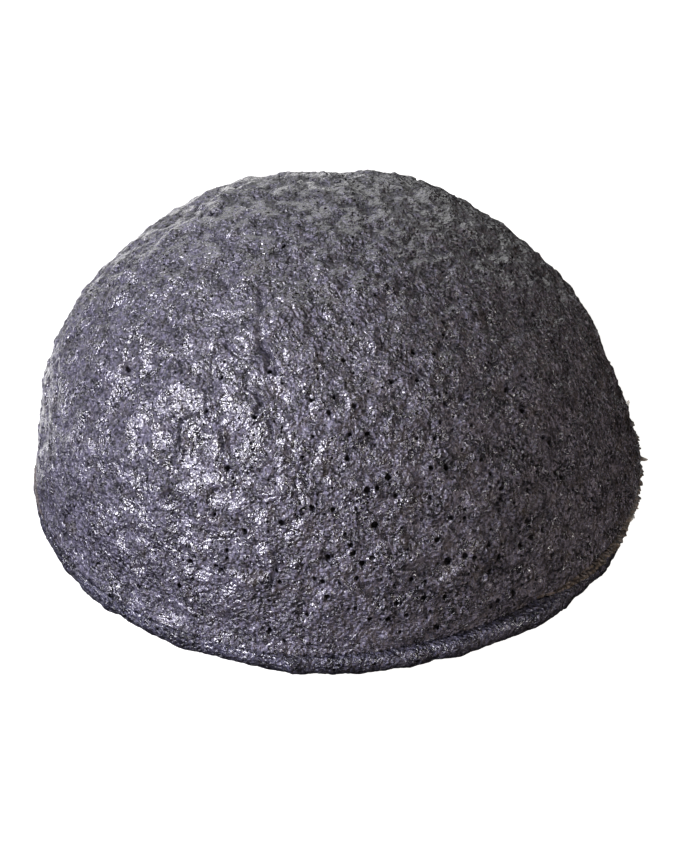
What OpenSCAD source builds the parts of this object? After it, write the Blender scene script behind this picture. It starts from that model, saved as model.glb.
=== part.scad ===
// Half-ball konjac sponge, damp, lying on its flat face.
// +X is to the viewer's right, -Y towards the viewer and +Z up.
// The origin is at the middle of the foot, on the face it rests on.
// A vegetable-fibre foam is cast in a round mould: a denser skin forms over the dome and
// over the flat face, the core between them stays open and soft, and the mould's edge
// leaves a rolled lip at the foot with a thin, torn film standing out above it.

/* [Foot] */
// Mean diameter of the foot, where the dome meets its lip
foot_d = 78; // [60:1:90]
// How far the foot's long diagonal stands out past the mean radius
foot_stretch = 1.4; // [0:0.1:3]
// Direction of that diagonal, in degrees from the right
stretch_angle = 14; // [0:1:180]
// How far the foot's three soft corners stand out past the mean radius
corner_swell = 0.5; // [0:0.1:1.5]
// Direction of the first soft corner, in degrees from the right
corner_angle = 41; // [0:1:120]

/* [Dome] */
// Height of the whole sponge
dome_h = 45; // [30:1:55]
// How far the crown leans to the left of the foot
crown_lean = 3.5; // [0:0.5:6]
// Fullness of the shoulders: 2 is a true ellipse, more is squarer
fullness = 2.02; // [1.8:0.02:2.6]
// Thickness of the denser skin over the dome
dome_skin_t = 1.5; // [0.8:0.1:3]
// Rise and fall of the soft dents in the dome, at most
dent_depth = 0.9; // [0:0.1:1.6]
// Distance from one soft dent to the next
dent_pitch = 12; // [9:1:24]

/* [Flat face] */
// Thickness of the skin under the core
base_skin_t = 1.2; // [0.6:0.1:2.4]

/* [Lip] */
// Height of the rolled lip round the foot
lip_h = 3.4; // [2.6:0.1:5]
// Height of the lip's fattest line above the flat face
lip_bulge_h = 2.3; // [1:0.1:2.5]
// Width of the lip, from its inner wall to the foot line
lip_w = 4; // [2.6:0.1:6]
// How far the lip's fattest line stands out past the foot line
lip_proud = 0.4; // [0.2:0.1:1.2]
// How far the lip is drawn in where it meets the table
toe_in = 1.9; // [0.4:0.1:2.4]
// Depth of the groove between the lip and the dome
groove = 0.6; // [0.2:0.1:0.8]

/* [Torn film] */
// Thickness of the film left at the mould's edge
film_t = 0.35; // [0.2:0.05:0.8]
// Reach of the film past the foot line where it is torn into teeth
film_torn = 1.1; // [0.6:0.1:3]
// Reach of the film past the foot line on the left, where it is whole
film_whole = 0.7; // [0.3:0.1:2]
// Depth inside the foot line of the film's edge where it was rubbed off into the groove
film_rubbed = 0.3; // [0:0.1:0.4]
// Middle of the torn stretch, in degrees from the right
torn_angle = 6; // [-40:1:60]
// Half the length of the torn stretch, in degrees
torn_spread = 48; // [20:1:80]
// Half the length of the whole stretch, in degrees
whole_spread = 55; // [20:1:80]
// Number of points along the film's torn edge
film_points = 200; // [80:20:240]

/* [Hidden] */

// Facets round the sponge, up the dome and along each half of the lip's roll
around = 60;
up_dome = 20;
along_roll = 4;
// Play between bonded layers, so that no two of them share a volume
seam = 0.05;
// How much of the film's reach a tear takes, on the torn stretch and elsewhere
torn_bite_share = 0.6;
whole_bite_share = 0.2;
// Drawing number of the tears
tear_seed = 7;
// Waves that cross to make the dents: the way each runs, as shares of one over the pitch,
// and where it starts, as a share of a turn
dent_wave_shares = [
    [[0.9, 0.3, 0.4], 0.6],
    [[-0.4, 0.9, 0.2], 0.35],
    [[0.6, -0.7, 0.5], 0.6],
    [[0.1, 0.5, -0.9], 0.35],
    [[-0.8, -0.2, 0.7], 0.85],
];

whole_angle = 180;
film_z = lip_h + seam;
dome_z = film_z + film_t + seam;
step = 360 / around;

// Outline of the foot: a circle with one long diagonal and three soft corners
function foot_r(a) =
    foot_d / 2
    + foot_stretch * cos(2 * (a - stretch_angle))
    + corner_swell * cos(3 * (a - corner_angle));

// Point on an even dome, drawn in from its outside by inset: t climbs from the foot at 0
// to the crown at 90, and a goes round
function even_point(inset, t, a) =
    let (
        out = pow(cos(t), 2 / fullness),
        rise = pow(sin(t), 2 / fullness),
        r = (foot_r(a) - groove - inset) * out
    )
    [r * cos(a) - crown_lean * rise, r * sin(a), dome_z + (dome_h - dome_z - inset) * rise];

function crown(inset) = [-crown_lean, 0, dome_h - inset];

// Mean of the crossing waves at a point, from -1 to 1
function waves(p) =
    [for (w = dent_wave_shares) cos(360 * (p * w[0] / dent_pitch + w[1]))]
    * [for (w = dent_wave_shares) 1 / len(dent_wave_shares)];

// How far the skin sinks at a point of the even dome; the crown keeps its height
function dent(p) = dent_depth / 2 * (waves(crown(0)) - waves(p));

// Point on a shell of the dented dome. The dents die out towards the foot, and every shell
// follows those of the outside, so that the skin keeps its thickness.
function dome_point(inset, t, a) =
    even_point(inset + dent(even_point(0, t, a)) * sqrt(sin(t)), t, a);

// Climb of a dome ring, in degrees
function climb(i) = 90 * i / up_dome;

// Ring of points round the foot at one height, drawn in by inset
function foot_ring(inset, z) =
    [for (j = [0 : around - 1])
        let (a = j * step, r = foot_r(a) - inset)
        [r * cos(a), r * sin(a), z]];

function dome_rings(inset) =
    [for (i = [0 : up_dome - 1]) [for (j = [0 : around - 1]) dome_point(inset, climb(i), j * step)]];

function flat(rings) = [for (ring = rings) for (p = ring) p];

// Triangles between two rings that start at points lo and hi
function band(lo, hi) =
    [for (j = [0 : around - 1]) let (k = (j + 1) % around)
        each [[lo + j, hi + k, lo + k], [lo + j, hi + j, hi + k]]];

function reversed(faces) = [for (f = faces) [f[2], f[1], f[0]]];

// Triangles that climb through a run of rings and close on one top point
function climbing(first, rings, top) =
    let (last = first + (rings - 1) * around)
    concat(
        [for (i = [0 : rings - 2]) each band(first + i * around, first + (i + 1) * around)],
        [for (j = [0 : around - 1]) [last + j, top, last + (j + 1) % around]]
    );

// Denser skin over the dome: an outer and an inner shell joined by a ring at the foot
module dome_skin() {
    outer = dome_rings(0);
    inner = dome_rings(dome_skin_t);
    inside = up_dome * around;
    tips = 2 * inside;
    color([0.33, 0.32, 0.37])
        polyhedron(
            points = concat(flat(outer), flat(inner), [crown(0), crown(dome_skin_t)]),
            faces = concat(
                climbing(0, up_dome, tips),
                reversed(climbing(inside, up_dome, tips + 1)),
                reversed(band(0, inside))
            ),
            convexity = 4
        );
}

// Open, soft core that fills the skins and the lip
module foam_core() {
    floor_z = base_skin_t + seam;
    skin_inset = dome_skin_t + seam;
    low = [foot_ring(lip_w + seam, floor_z), foot_ring(lip_w + seam, dome_z)];
    rings = concat(low, dome_rings(skin_inset));
    top = len(rings) * around;
    color([0.24, 0.23, 0.27])
        polyhedron(
            points = concat(flat(rings), [crown(skin_inset), [0, 0, floor_z]]),
            faces = concat(
                climbing(0, len(rings), top),
                [for (j = [0 : around - 1]) [j, (j + 1) % around, top + 1]]
            ),
            convexity = 4
        );
}

// Skin over the flat face, inside the lip
module base_skin() {
    color([0.28, 0.27, 0.31])
        linear_extrude(base_skin_t)
            polygon([for (p = foot_ring(lip_w + seam, 0)) [p[0], p[1]]]);
}

// Roll of the lip from its toe, out over its fattest line and back into the groove,
// as distances drawn in from the foot line and heights
function lip_roll() =
    concat(
        [for (i = [0 : along_roll]) let (u = 90 * i / along_roll)
            [toe_in - (toe_in + lip_proud) * sin(u), lip_bulge_h * (1 - cos(u))]],
        [for (i = [1 : along_roll]) let (u = 90 * i / along_roll)
            [(lip_proud + groove) * (1 - cos(u)) - lip_proud, lip_bulge_h + (lip_h - lip_bulge_h) * sin(u)]]
    );

// Rolled lip round the foot: the roll, closed by a straight inner wall
module rim_lip() {
    profile = concat([[lip_w, 0]], lip_roll(), [[lip_w, lip_h]]);
    count = len(profile);
    color([0.36, 0.37, 0.43])
        polyhedron(
            points = flat([for (p = profile) foot_ring(p[0], p[1])]),
            faces = [for (i = [0 : count - 1]) each band(i * around, (i + 1) % count * around)],
            convexity = 4
        );
}

// 1 in the middle of a stretch of the rim, easing to 0 at its ends
function stretch(a, middle, spread) =
    let (off = a - middle, away = abs(off - 360 * round(off / 360)))
    away < spread ? pow(cos(90 * away / spread), 2) : 0;

// Reach of the untorn film past the foot line
function film_reach(a) =
    (film_torn + film_rubbed) * stretch(a, torn_angle, torn_spread)
    + (film_whole + film_rubbed) * stretch(a, whole_angle, whole_spread)
    - film_rubbed;

// Thin film that the mould's edge leaves between the dome and the lip, torn into teeth
// on the right, whole on the left and rubbed off elsewhere
module rim_film() {
    tears = rands(0, 1, film_points, tear_seed);
    more_bite_share = torn_bite_share - whole_bite_share;
    edge = [for (i = [0 : film_points - 1])
        let (
            a = 360 * i / film_points,
            bite = whole_bite_share + more_bite_share * stretch(a, torn_angle, torn_spread),
            r = foot_r(a) + film_reach(a) * (1 - bite * tears[i])
        )
        [r * cos(a), r * sin(a)]];
    color([0.45, 0.44, 0.48])
        translate([0, 0, film_z])
            linear_extrude(film_t)
                difference() {
                    polygon(edge);
                    polygon([for (p = foot_ring(lip_w, 0)) [p[0], p[1]]]);
                }
}

dome_skin();
foam_core();
base_skin();
rim_lip();
rim_film();
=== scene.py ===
import math

import bpy
import numpy as np
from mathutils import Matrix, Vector


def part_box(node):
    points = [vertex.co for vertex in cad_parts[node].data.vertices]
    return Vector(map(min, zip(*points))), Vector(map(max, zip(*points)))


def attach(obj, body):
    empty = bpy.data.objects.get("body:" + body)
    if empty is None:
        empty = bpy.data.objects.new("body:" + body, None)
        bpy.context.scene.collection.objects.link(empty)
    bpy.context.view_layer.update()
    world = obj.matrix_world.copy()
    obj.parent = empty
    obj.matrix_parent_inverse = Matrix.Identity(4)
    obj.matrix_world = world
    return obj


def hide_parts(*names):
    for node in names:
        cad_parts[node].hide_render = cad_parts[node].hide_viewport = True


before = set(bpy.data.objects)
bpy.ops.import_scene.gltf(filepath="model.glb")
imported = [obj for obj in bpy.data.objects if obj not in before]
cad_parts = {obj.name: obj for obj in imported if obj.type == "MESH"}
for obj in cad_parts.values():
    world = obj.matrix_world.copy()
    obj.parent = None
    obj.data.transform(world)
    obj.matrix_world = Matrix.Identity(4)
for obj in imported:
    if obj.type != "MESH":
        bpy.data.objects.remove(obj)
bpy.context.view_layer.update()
scene = bpy.context.scene
mm = 0.001  # every shape below is worked out in millimetres
tiny, farAway = 1e-9, 1e6
body = "root"


# Noise on whole arrays

lattice = {
    "factors": (374761393, 668265263, 1440662683),  # large odd numbers, one for each coordinate
    "seedFactor": 40503,
    "seedStart": 17,
    "mixing": ((13, 1274126177), (16, 2246822519)),  # how far the number is shifted, and its factor
    "lastShift": 15,
    "shareBits": 10,
    "gain": 1.4,  # brings gradient noise to about -1 to 1
}


def latticeNumber(cell, seed):
    # A number for each lattice cell, from its three whole coordinates and the seed
    n = np.uint32(seed * lattice["seedFactor"] + lattice["seedStart"])
    for i, factor in enumerate(lattice["factors"]):
        n = n + cell[..., i].astype(np.int64).astype(np.uint32) * np.uint32(factor)
    for shift, factor in lattice["mixing"]:
        n = (n ^ (n >> np.uint32(shift))) * np.uint32(factor)
    return n ^ (n >> np.uint32(lattice["lastShift"]))


def threeShares(number):
    # Three shares from 0 to 1 out of one number, a few bits each
    bits = lattice["shareBits"]
    most = 2 ** bits - 1
    return [((number >> np.uint32(bits * i)) & np.uint32(most)).astype(np.float32) / most for i in range(3)]


def softNoise(points, size, seed):
    # Gradient noise, about -1 to 1: each corner of a cell has a slope, and a curve that is level at
    # both ends blends the eight
    q = (points / size).astype(np.float32)
    base = np.floor(q)
    f = q - base
    w = f * f * f * (f * (f * 6 - 15) + 10)
    total = np.zeros(q.shape[:-1], np.float32)
    for corner in np.ndindex(2, 2, 2):
        c = np.array(corner, np.float32)
        slopes = threeShares(latticeNumber(base + c, seed))
        share = np.prod(np.where(c > 0, w, 1 - w), axis=-1)
        total += share * sum((2 * slopes[i] - 1) * (f[..., i] - c[i]) for i in range(3))
    return total * lattice["gain"]


def layeredNoise(points, size, seed, layers=3, gain=0.5):
    # Soft noise summed over layers, each half the size of the last and gain times as high
    return sum(gain ** i * softNoise(points, size / 2 ** i, seed + i) for i in range(layers))


def bent(points, size, reach, seed):
    # Points pushed aside by three soft noises, so that what is drawn on them bends
    push = np.stack([softNoise(points, size, seed + i) for i in range(3)], axis=-1)
    return points + reach * push


mouth = {"far": 1.2, "wide": 0.35, "high": 0.3}  # of the swelling round a bubble, in shares of its radius


def poreDepths(points, normals, size, radius, seed, chance):
    # Bubbles, one to a cell and kept by chance: a point inside one sinks along its normal to the
    # bubble's far wall, and the skin round its mouth swells. Returns both.
    q = points.astype(np.float32)
    base = np.floor(q / size)
    depth = np.zeros(q.shape[:-1], np.float32)
    swell = np.zeros(q.shape[:-1], np.float32)
    for step in np.ndindex(3, 3, 3):
        cell = base + np.array(step, np.float32) - 1
        spots = threeShares(latticeNumber(cell, seed))
        luck = threeShares(latticeNumber(cell, seed + 1))
        r = radius[0] + (radius[1] - radius[0]) * luck[0] ** 2
        away = np.stack([(cell[..., i] + spots[i]) * size for i in range(3)], axis=-1) - q
        along = (away * normals).sum(-1)
        far = (away ** 2).sum(-1)
        kept = luck[1] < chance
        wall = -along + np.sqrt(np.maximum(r * r - far + along ** 2, 0))
        depth = np.maximum(depth, np.where(kept & (far < r * r), wall, 0))
        ring = np.exp(-((np.sqrt(far) - mouth["far"] * r) / (mouth["wide"] * r)) ** 2)
        swell = np.maximum(swell, np.where(kept, mouth["high"] * r * ring, 0))
    return depth, swell


def eased(x, low, high):
    # 0 below low, 1 above high, a smooth S between
    t = np.clip((x - low) / (high - low), 0, 1)
    return t * t * (3 - 2 * t)


def degreesFrom(phi, direction):
    return (np.degrees(phi) - direction + 180) % 360 - 180


def arc(phi, middle, spread):
    # 1 at one direction round the foot, easing to 0 at spread degrees from it
    off = degreesFrom(phi, middle)
    return np.where(np.abs(off) < spread, np.cos(np.pi / 2 * np.clip(off / spread, -1, 1)) ** 2, 0)


def roundSteps(phi, spots):
    # Values given at directions round the foot, in degrees, joined by straight runs
    return np.interp(np.degrees(phi) % 360, *zip(*sorted((a % 360, v) for a, v in spots)), period=360)


def easedNoise(points, size, seed, low, high, layers=1):
    return eased(layeredNoise(points, size, seed, layers), low, high)


def polar(r, phi, z):
    # Points from their distances from the middle, directions round it and heights
    r, phi, z = np.broadcast_arrays(r, phi, z)
    return np.stack([r * np.cos(phi), r * np.sin(phi), z], axis=-1)


# Meshes

def newPiece(name, points, faces, material, replaced, uv=None, values=None):
    # A mesh from points in millimetres and lists of faces of equal length
    points = points.reshape(-1, 3)
    mesh = bpy.data.meshes.new(name)
    lengths = np.concatenate([np.full(len(f), f.shape[1]) for f in faces])
    corners = np.concatenate([f.ravel() for f in faces]).astype(np.int32)
    mesh.vertices.add(len(points))
    mesh.vertices.foreach_set("co", (points * mm).astype(np.float32).ravel())
    mesh.loops.add(len(corners))
    mesh.loops.foreach_set("vertex_index", corners)
    mesh.polygons.add(len(lengths))
    starts = np.concatenate([[0], np.cumsum(lengths)[:-1]]).astype(np.int32)
    mesh.polygons.foreach_set("loop_start", starts)
    mesh.update(calc_edges=True)
    mesh.validate()
    mesh.polygons.foreach_set("use_smooth", np.ones(len(mesh.polygons), bool))
    if uv is not None:
        layer = mesh.uv_layers.new(name="OFBake")
        layer.data.foreach_set("uv", uv[corners].astype(np.float32).ravel())
    for key, value in (values or {}).items():
        attribute = mesh.attributes.new(key, "FLOAT", "POINT")
        attribute.data.foreach_set("value", value.astype(np.float32).ravel())
    mesh.materials.append(material)
    piece = bpy.data.objects.new(name, mesh)
    scene.collection.objects.link(piece)
    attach(piece, body)
    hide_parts(replaced)
    print(name, len(points), "points,", int((lengths - 2).sum()), "triangles")
    return piece


def squareGrid(half):
    # A square of 2 * half + 1 points a side, wrapped onto a disc ring by ring: share is the distance
    # from the middle, 0 to 1, and phi the direction
    side = np.linspace(-1, 1, 2 * half + 1)
    u, v = np.meshgrid(side, side, indexing="ij")
    share = np.maximum(np.abs(u), np.abs(v))
    wide = np.abs(u) >= np.abs(v)
    safeU = np.where(np.abs(u) < tiny, 1, u)
    safeV = np.where(np.abs(v) < tiny, 1, v)
    phi = np.where(wide, np.pi / 4 * v / safeU, np.pi / 2 - np.pi / 4 * u / safeV)
    phi = phi + np.where(np.where(wide, u, v) < 0, np.pi, 0)
    return share, phi, np.stack([(u + 1) / 2, (v + 1) / 2], axis=-1)


def ringQuads(around, count):
    # Quads of a closed outline of count points that is carried round a ring
    i, j = np.meshgrid(np.arange(around), np.arange(count), indexing="ij")
    here, following = i * count, (i + 1) % around * count
    nextJ = (j + 1) % count
    return np.stack([here + j, following + j, following + nextJ, here + nextJ], -1).reshape(-1, 4)


def gridQuads(rows, columns, first=0):
    i, j = np.meshgrid(np.arange(rows - 1), np.arange(columns - 1), indexing="ij")
    a = (first + i * columns + j).ravel()
    return np.stack([a, a + columns, a + columns + 1, a + 1], axis=1)


def gridEdge(side, first=0):
    # The numbers of a square grid's outer points, in order round it
    n = np.arange(side * side).reshape(side, side)
    return first + np.concatenate([n[:-1, 0], n[-1, :-1], n[:0:-1, -1], n[0, :0:-1]])


def stitched(fine, coarse, ratio):
    # Triangles between two closed rings, the first with ratio times as many points as the second
    fans = [np.stack([fine[i::ratio], coarse, np.roll(fine, -i - 1)[::ratio]], 1) for i in range(ratio)]
    ends = np.stack([np.roll(fine, -ratio)[::ratio], coarse, np.roll(coarse, -1)], 1)
    return np.concatenate([*fans, ends])


def gridNormals(points):
    # Cross product of the two steps along a grid
    n = np.cross(np.gradient(points, axis=0), np.gradient(points, axis=1))
    return n / np.maximum(np.linalg.norm(n, axis=-1, keepdims=True), tiny)


# Where the faces of a closed piece lie in its texture: side and corner of each square
bakeLayout = {"top": (0.86, 0.002, 0.002), "under": (0.12, 0.872, 0.002)}


def bakeSquare(face, points):
    side, *corner = bakeLayout[face]
    return squareGrid((points.shape[0] - 1) // 2)[2].reshape(-1, 2) * side + np.array(corner)


def closedPiece(name, top, under, ratio, material, replaced, values=None):
    # A closed piece from two square grids with one rim, the under one ratio times coarser
    side, low = top.shape[0], under.shape[0]
    count = side * side
    rim, lowRim = gridEdge(side), gridEdge(low, count)
    underQuads = gridQuads(low, low, count)[:, ::-1]
    faces = [gridQuads(side, side), underQuads, stitched(rim, lowRim, ratio)]
    uv = np.concatenate([bakeSquare("top", top), bakeSquare("under", under)])
    points = np.concatenate([top.reshape(-1, 3), under.reshape(-1, 3)])
    filled = {k: np.concatenate([v.ravel(), np.zeros(low * low)]) for k, v in (values or {}).items()}
    return newPiece(name, points, faces, material, replaced, uv, filled)


# The foot's outline and the dome, as the frame's solids have them

foot = {
    "radius": 39.0,  # mean
    "stretch": 1.4,  # how far the long diagonal stands out
    "stretchAngle": 14,
    "cornerSwell": 0.5,  # how far the three soft corners stand out
    "cornerAngle": 41,
}


def footRadius(phi):
    # The mean radius, pushed out twice round along the diagonal and three times at the corners
    long = foot["stretch"] * np.cos(2 * (phi - math.radians(foot["stretchAngle"])))
    corners = foot["cornerSwell"] * np.cos(3 * (phi - math.radians(foot["cornerAngle"])))
    return foot["radius"] + long + corners


dome = {
    "height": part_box("dome_skin")[1].z / mm,
    "bottom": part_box("dome_skin")[0].z / mm,
    "lean": 3.5,  # how far the crown leans left
    "fullness": 2.02,
    "groove": 0.6,  # how far the dome starts inside the foot line
    "skin": 1.5,
    "half": 360,  # rings of the grid from crown to foot
    "innerRatio": 8,
    "ledge": 0.97,  # share of the inner grid that is the shell's inside; the rest is its foot
    "spacing": 0.86,  # under 1 sets the rings closer at the foot
    "drop": 0.38,  # how far the foot comes down where the film was rubbed off
}


dents = {
    "depth": 0.9,  # rise and fall, at most
    "pitch": 12.0,  # distance from one soft dent to the next
    # the way each wave runs, in shares of one over the pitch, and where in a turn it starts
    "waves": (((0.9, 0.3, 0.4), 0.6), ((-0.4, 0.9, 0.2), 0.35), ((0.6, -0.7, 0.5), 0.6),
              ((0.1, 0.5, -0.9), 0.35), ((-0.8, -0.2, 0.7), 0.85)),
}


def crossingWaves(points):
    # Mean of the cosines of the waves that cross at a point
    turns = [points @ np.array(way) / dents["pitch"] + start for way, start in dents["waves"]]
    return np.mean([np.cos(2 * np.pi * turn) for turn in turns], axis=0)


def domePoint(share, phi, inset=0):
    # A half ellipse on the foot's outline, leaning left as it climbs, then sunk by crossing waves that
    # leave the crown where it is and die out towards the foot
    climb = np.pi / 2 * (1 - share ** dome["spacing"])
    out = np.cos(climb) ** (2 / dome["fullness"])
    rise = np.sin(climb) ** (2 / dome["fullness"])

    def even(sunk):
        r = (footRadius(phi) - dome["groove"] - sunk) * out
        points = polar(r, phi, dome["bottom"] + (dome["height"] - dome["bottom"] - sunk) * rise)
        points[..., 0] -= dome["lean"] * rise
        return points

    crown = np.array([-dome["lean"], 0, dome["height"]])
    dent = dents["depth"] / 2 * (crossingWaves(crown) - crossingWaves(even(0)))
    return even(inset + dent * np.sqrt(np.sin(climb)))


# Materials

class Nodes:
    # Short hands for one node tree. What is fed to a socket is a number, a colour or a socket.
    def __init__(self, tree):
        tree.nodes.clear()
        self.tree = tree

    def feed(self, socket, value):
        if isinstance(value, bpy.types.NodeSocket):
            self.tree.links.new(value, socket)
        else:
            socket.default_value = (*value, 1) if isinstance(value, tuple) else value

    def add(self, kind, fed=None, **settings):
        node = self.tree.nodes.new(kind)
        for key, value in settings.items():
            setattr(node, key, value)
        for key, value in (fed or {}).items():
            self.feed(node.inputs[key], value)
        return node

    def maths(self, operation, *values, clamp=False):
        fed = dict(enumerate(values))
        return self.add("ShaderNodeMath", fed, operation=operation, use_clamp=clamp).outputs[0]

    def ranged(self, value, low, high):
        # 0 below low, 1 above high, a smooth S between
        fed = {"Value": value, "From Min": low, "From Max": high}
        return self.add("ShaderNodeMapRange", fed, interpolation_type="SMOOTHSTEP").outputs["Result"]

    def mixed(self, kind, factor, first, second):
        # Mixes colours ("RGBA") or numbers ("FLOAT")
        node = self.add("ShaderNodeMix", data_type=kind)
        for socket, value in zip([s for s in node.inputs if s.enabled], (factor, first, second)):
            self.feed(socket, value)
        return next(s for s in node.outputs if s.enabled)


dampGiven = {  # what the damp foam is given, and its values where a material gives none
    "Dark": (0, 0, 0), "Light": (0, 0, 0), "Warm": (0, 0, 0), "Pale": (0, 0, 0), "Paleness": 0.0,
    "Shade": 0.0, "Pore": 0.0, "Wetness": 0.45, "Grain": 0.6, "Fine Grain": 0.1, "Ripples": 0.5,
    "Blisters": 0.25, "Pinholes": 1.0, "Dry": 0.5, "Wet": 0.36, "Water": 0.5,
}
dampNoise = {  # size in mm, detail, roughness, bend, and the values that ease to 0 and 1
    "mottle": (4.0, 2.0, 0.6, 0.0, 0.35, 0.65),
    "flecks": (0.5, 3.0, 0.75, 0.3, 0.445, 0.57),
    "blotches": (1.9, 2.0, 0.6, 0.4, 0.38, 0.6),
    "warmth": (2.4, 3.0, 0.6, 0.0, 0.5, 0.72),
    "wetEdge": (0.5, 2.0, 0.6, 0.0),
    "grain": (0.45, 0.0, 0.5, 0.4),
    "fineGrain": (0.22, 0.0, 0.5, 0.0),
    "ripples": (0.38, 1.0, 0.5, 0.3),
}
damp = {
    "holeCell": 0.9,  # mm, one pinhole to a cell
    "holeLuck": 1.5,  # over 1 leaves fewer large ones
    "holeRadius": 0.3,  # of the largest, in shares of the cell
    "holeEdge": (-0.03, 0.06),
    "holeDepth": 0.3,
    "mottleShare": 0.25,  # of the change from dark to light; the flecks have the rest
    "blotchLeast": 0.7,  # how light the darkest blotches leave the skin
    "blotchMore": 0.65,
    "warmShare": 0.35,
    "paleLeast": 0.3,  # how pale the pale parts are between the flecks
    # painted shade: how far Shade darkens the colour towards Dark
    "shadeShare": 0.85,
    # painted shade in the holes and pores: how far they are darkened, and the near black they are darkened to
    "holeShadeShare": 0.96,
    "holeShadeColour": (0.006, 0.0055, 0.006),
    "reflectance": 0.5,
    "wetRagged": 0.8,
    "wetRange": (0.3, 0.7),
    "holeRougher": 0.4,
    "waterLeast": 0.45,  # share of the water that lies on the dry skin
    "blisterCell": 0.5,
    "blisterSoftness": 0.35,
    "reliefOver": (1.25, -0.5),  # the grain's height on dry skin, and what wetness adds to it
    "ripplesOver": (1.15, -0.5),
    "grainInWater": 0.3,
}


def dampFoamGroup():
    # The damp skin's detail, in millimetres: mottled colour, grain, tiny blisters and pinholes, with painted
    # shade, near black, in the holes and pores and where Shade is given
    group = bpy.data.node_groups.new("dampFoam", "ShaderNodeTree")
    kinds = {True: "NodeSocketColor", False: "NodeSocketFloat"}
    for name, value in dampGiven.items():
        isColour = isinstance(value, tuple)
        socket = group.interface.new_socket(name, in_out="INPUT", socket_type=kinds[isColour])
        socket.default_value = (*value, 1) if isColour else value
    for name in ("Colour", "Roughness", "Water", "Height", "Water Height", "Reflectance"):
        group.interface.new_socket(name, in_out="OUTPUT", socket_type=kinds[name == "Colour"])
    nodes = Nodes(group)
    maths, mixed = nodes.maths, nodes.mixed
    given = nodes.add("NodeGroupInput").outputs
    made = nodes.add("NodeGroupOutput").inputs
    fromObject = nodes.add("ShaderNodeTexCoord").outputs["Object"]
    scaled = nodes.add("ShaderNodeMapping", {"Vector": fromObject})
    scaled.inputs["Scale"].default_value = (1 / mm, 1 / mm, 1 / mm)
    place = scaled.outputs["Vector"]

    def noise(name):
        size, detail, rough, bend, *ends = dampNoise[name]
        fed = {"Vector": place, "Scale": 1 / size, "Detail": detail, "Roughness": rough, "Distortion": bend}
        level = nodes.add("ShaderNodeTexNoise", fed).outputs["Fac"]
        return nodes.ranged(level, *ends) if ends else level

    holes = nodes.add("ShaderNodeTexVoronoi", {"Vector": place, "Scale": 1 / damp["holeCell"]}).outputs
    luck = nodes.add("ShaderNodeSeparateColor", {"Color": holes["Color"]})
    holeSize = maths("MULTIPLY", maths("POWER", luck.outputs["Red"], damp["holeLuck"]), given["Pinholes"])
    within = maths("SUBTRACT", maths("MULTIPLY", holeSize, damp["holeRadius"]), holes["Distance"])
    inHole = nodes.ranged(within, *damp["holeEdge"])
    holeShade = maths("MAXIMUM", inHole, given["Pore"], clamp=True)

    # Mottled, with darker blotches and a few warmer patches; painted shade darkens it where Shade is given
    # and, near black, in the holes and pores
    flecks = noise("flecks")
    mottle = maths("MULTIPLY", noise("mottle"), damp["mottleShare"])
    toLight = maths("ADD", mottle, maths("MULTIPLY", flecks, 1 - damp["mottleShare"]))
    spared = maths("MULTIPLY_ADD", noise("blotches"), damp["blotchMore"], damp["blotchLeast"])
    toLight = maths("MULTIPLY", toLight, spared, clamp=True)
    base = mixed("RGBA", toLight, given["Dark"], given["Light"])
    warmer = maths("MULTIPLY", noise("warmth"), damp["warmShare"])
    base = mixed("RGBA", warmer, base, given["Warm"])
    fleckedPale = maths("MULTIPLY_ADD", flecks, 1 - damp["paleLeast"], damp["paleLeast"])
    base = mixed("RGBA", maths("MULTIPLY", given["Paleness"], fleckedPale), base, given["Pale"])
    # Painted shade where Shade is given, as on the lip's underside: darker towards Dark
    base = mixed("RGBA", maths("MULTIPLY", given["Shade"], damp["shadeShare"]), base, given["Dark"])
    # Painted shade, near black, in the holes and pores, where light doesn't reach
    base = mixed("RGBA", maths("MULTIPLY", holeShade, damp["holeShadeShare"]), base, damp["holeShadeColour"])
    nodes.feed(made["Colour"], base)
    nodes.feed(made["Reflectance"], maths("MULTIPLY_ADD", holeShade, -damp["reflectance"], damp["reflectance"]))

    # Wet patches, with ragged edges, are smoother and carry a film of water
    ragged = maths("MULTIPLY", maths("SUBTRACT", noise("wetEdge"), 0.5), damp["wetRagged"])
    wet = nodes.ranged(maths("ADD", given["Wetness"], ragged), *damp["wetRange"])
    rough = mixed("FLOAT", wet, given["Dry"], given["Wet"])
    nodes.feed(made["Roughness"], maths("MULTIPLY_ADD", holeShade, damp["holeRougher"], rough, clamp=True))
    onDry = maths("MULTIPLY_ADD", wet, 1 - damp["waterLeast"], damp["waterLeast"])
    bright = maths("SUBTRACT", 1.0, maths("MAXIMUM", holeShade, given["Shade"]))
    water = maths("MULTIPLY", maths("MULTIPLY", given["Water"], onDry), bright, clamp=True)
    nodes.feed(made["Water"], water)

    def calmed(value, over):
        # Lower where it is wet
        dry, wetter = damp[over]
        return maths("MULTIPLY", value, maths("MULTIPLY_ADD", wet, wetter, dry))

    height = maths("MULTIPLY", noise("grain"), given["Grain"])
    height = maths("MULTIPLY_ADD", noise("fineGrain"), given["Fine Grain"], height)
    fed = {"Vector": place, "Scale": 1 / damp["blisterCell"], "Smoothness": damp["blisterSoftness"]}
    blisters = nodes.add("ShaderNodeTexVoronoi", fed, feature="SMOOTH_F1").outputs["Distance"]
    height = maths("SUBTRACT", height, maths("MULTIPLY", blisters, given["Blisters"]))
    height = maths("MULTIPLY_ADD", inHole, -damp["holeDepth"], calmed(height, "reliefOver"))
    nodes.feed(made["Height"], height)
    # The water lies on the skin in ripples of its own, calmer where it is deep
    ripples = maths("MULTIPLY", noise("ripples"), given["Ripples"])
    ripples = maths("MULTIPLY_ADD", height, damp["grainInWater"], ripples)
    nodes.feed(made["Water Height"], calmed(ripples, "ripplesOver"))
    return group


dampFoam = dampFoamGroup()


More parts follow.
